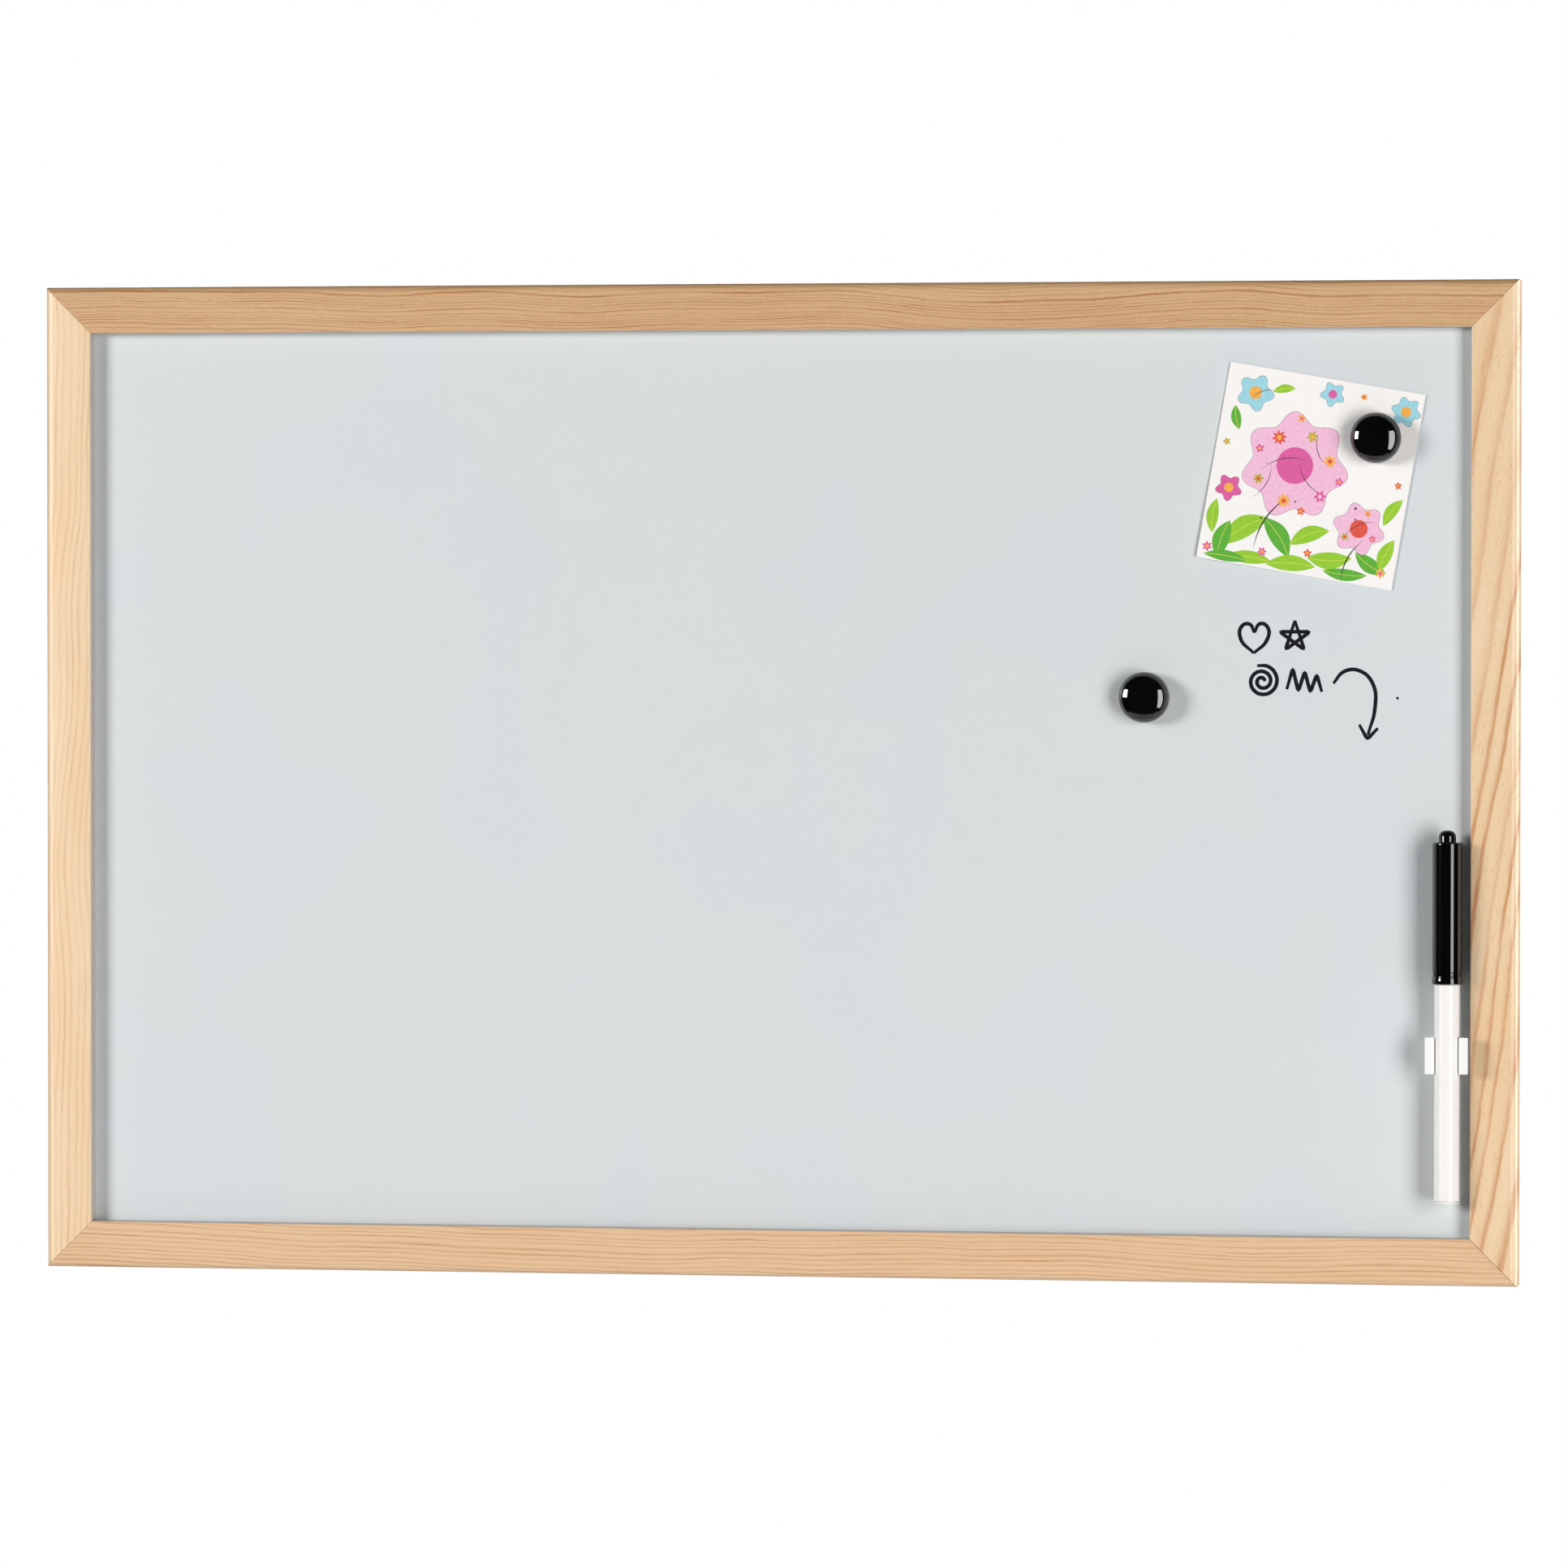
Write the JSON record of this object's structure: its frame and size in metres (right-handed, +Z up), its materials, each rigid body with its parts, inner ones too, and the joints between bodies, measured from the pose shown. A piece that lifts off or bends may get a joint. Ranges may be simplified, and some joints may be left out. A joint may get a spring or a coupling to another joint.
{
  "type": "whiteboard",
  "caption": "Magnetic whiteboard in a mitred pine frame that hangs on a wall, with a pen clip, a capped marker, round magnets and a small card.",
  "frame": {"origin": "midway between the two toothed hangers, on the line of their tooth roots where the wall screws bear, in the plane of the rails' backs", "axes": "+X along the board's width to the right as one faces it, +Y out of the back towards the wall, +Z up"},
  "size_m": [0.6, 0.0257, 0.4],
  "materials": {
    "pine_left": "pale pine, clear matt lacquer",
    "pine_top": "tan pine, clear matt lacquer",
    "pine_bottom": "warm pine, clear matt lacquer",
    "pine_right": "warm pine with broad grain, clear matt lacquer",
    "sheet_enamel": "glossy cool-white lacquer on steel",
    "fibreboard": "raw brown hardboard",
    "zinc_steel": "zinc-plated steel",
    "nail_steel": "bright steel",
    "clip_plastic": "white satin plastic",
    "pad_foam": "white foam tape",
    "barrel_plastic": "white glossy plastic",
    "cap_plastic": "black glossy plastic",
    "felt": "ink-soaked felt",
    "magnet_plastic": "black polished plastic",
    "ferrite": "raw dark ferrite",
    "card_stock": "white card, printed"
  },
  "bodies": {
    "board": {"rail_top": "pine_top", "rail_bottom": "pine_bottom", "rail_left": "pine_left", "rail_right": "pine_right", "writing_sheet": "sheet_enamel", "backing_panel": "fibreboard", "corner_nail_top_left": "zinc_steel", "corner_nail_top_right": "zinc_steel", "corner_nail_bottom_left": "zinc_steel", "corner_nail_bottom_right": "zinc_steel", "back_point_top_1": "zinc_steel", "back_point_top_2": "zinc_steel", "back_point_top_3": "zinc_steel", "back_point_bottom_1": "zinc_steel", "back_point_bottom_2": "zinc_steel", "back_point_bottom_3": "zinc_steel", "back_point_left_1": "zinc_steel", "back_point_left_2": "zinc_steel", "back_point_right_1": "zinc_steel", "back_point_right_2": "zinc_steel", "hanger_left": "zinc_steel", "hanger_right": "zinc_steel", "hanger_nail_left_outer": "nail_steel", "hanger_nail_left_inner": "nail_steel", "hanger_nail_right_inner": "nail_steel", "hanger_nail_right_outer": "nail_steel", "pen_clip": "clip_plastic", "clip_pad": "pad_foam", "marker_barrel": "barrel_plastic", "marker_end_plug": "barrel_plastic", "marker_reservoir": "felt", "marker_nib_holder": "cap_plastic", "marker_nib": "felt", "magnet_free_housing": "magnet_plastic", "magnet_free_core": "ferrite", "magnet_card_housing": "magnet_plastic", "magnet_card_core": "ferrite", "card": "card_stock"},
    "marker_cap": {"marker_cap": "cap_plastic"}
  },
  "joints": [
    {"name": "cap_pull", "type": "slide", "parent": "board", "child": "marker_cap", "axis": [0, 0, 1], "range_m": [0, 0.06]}
  ]
}
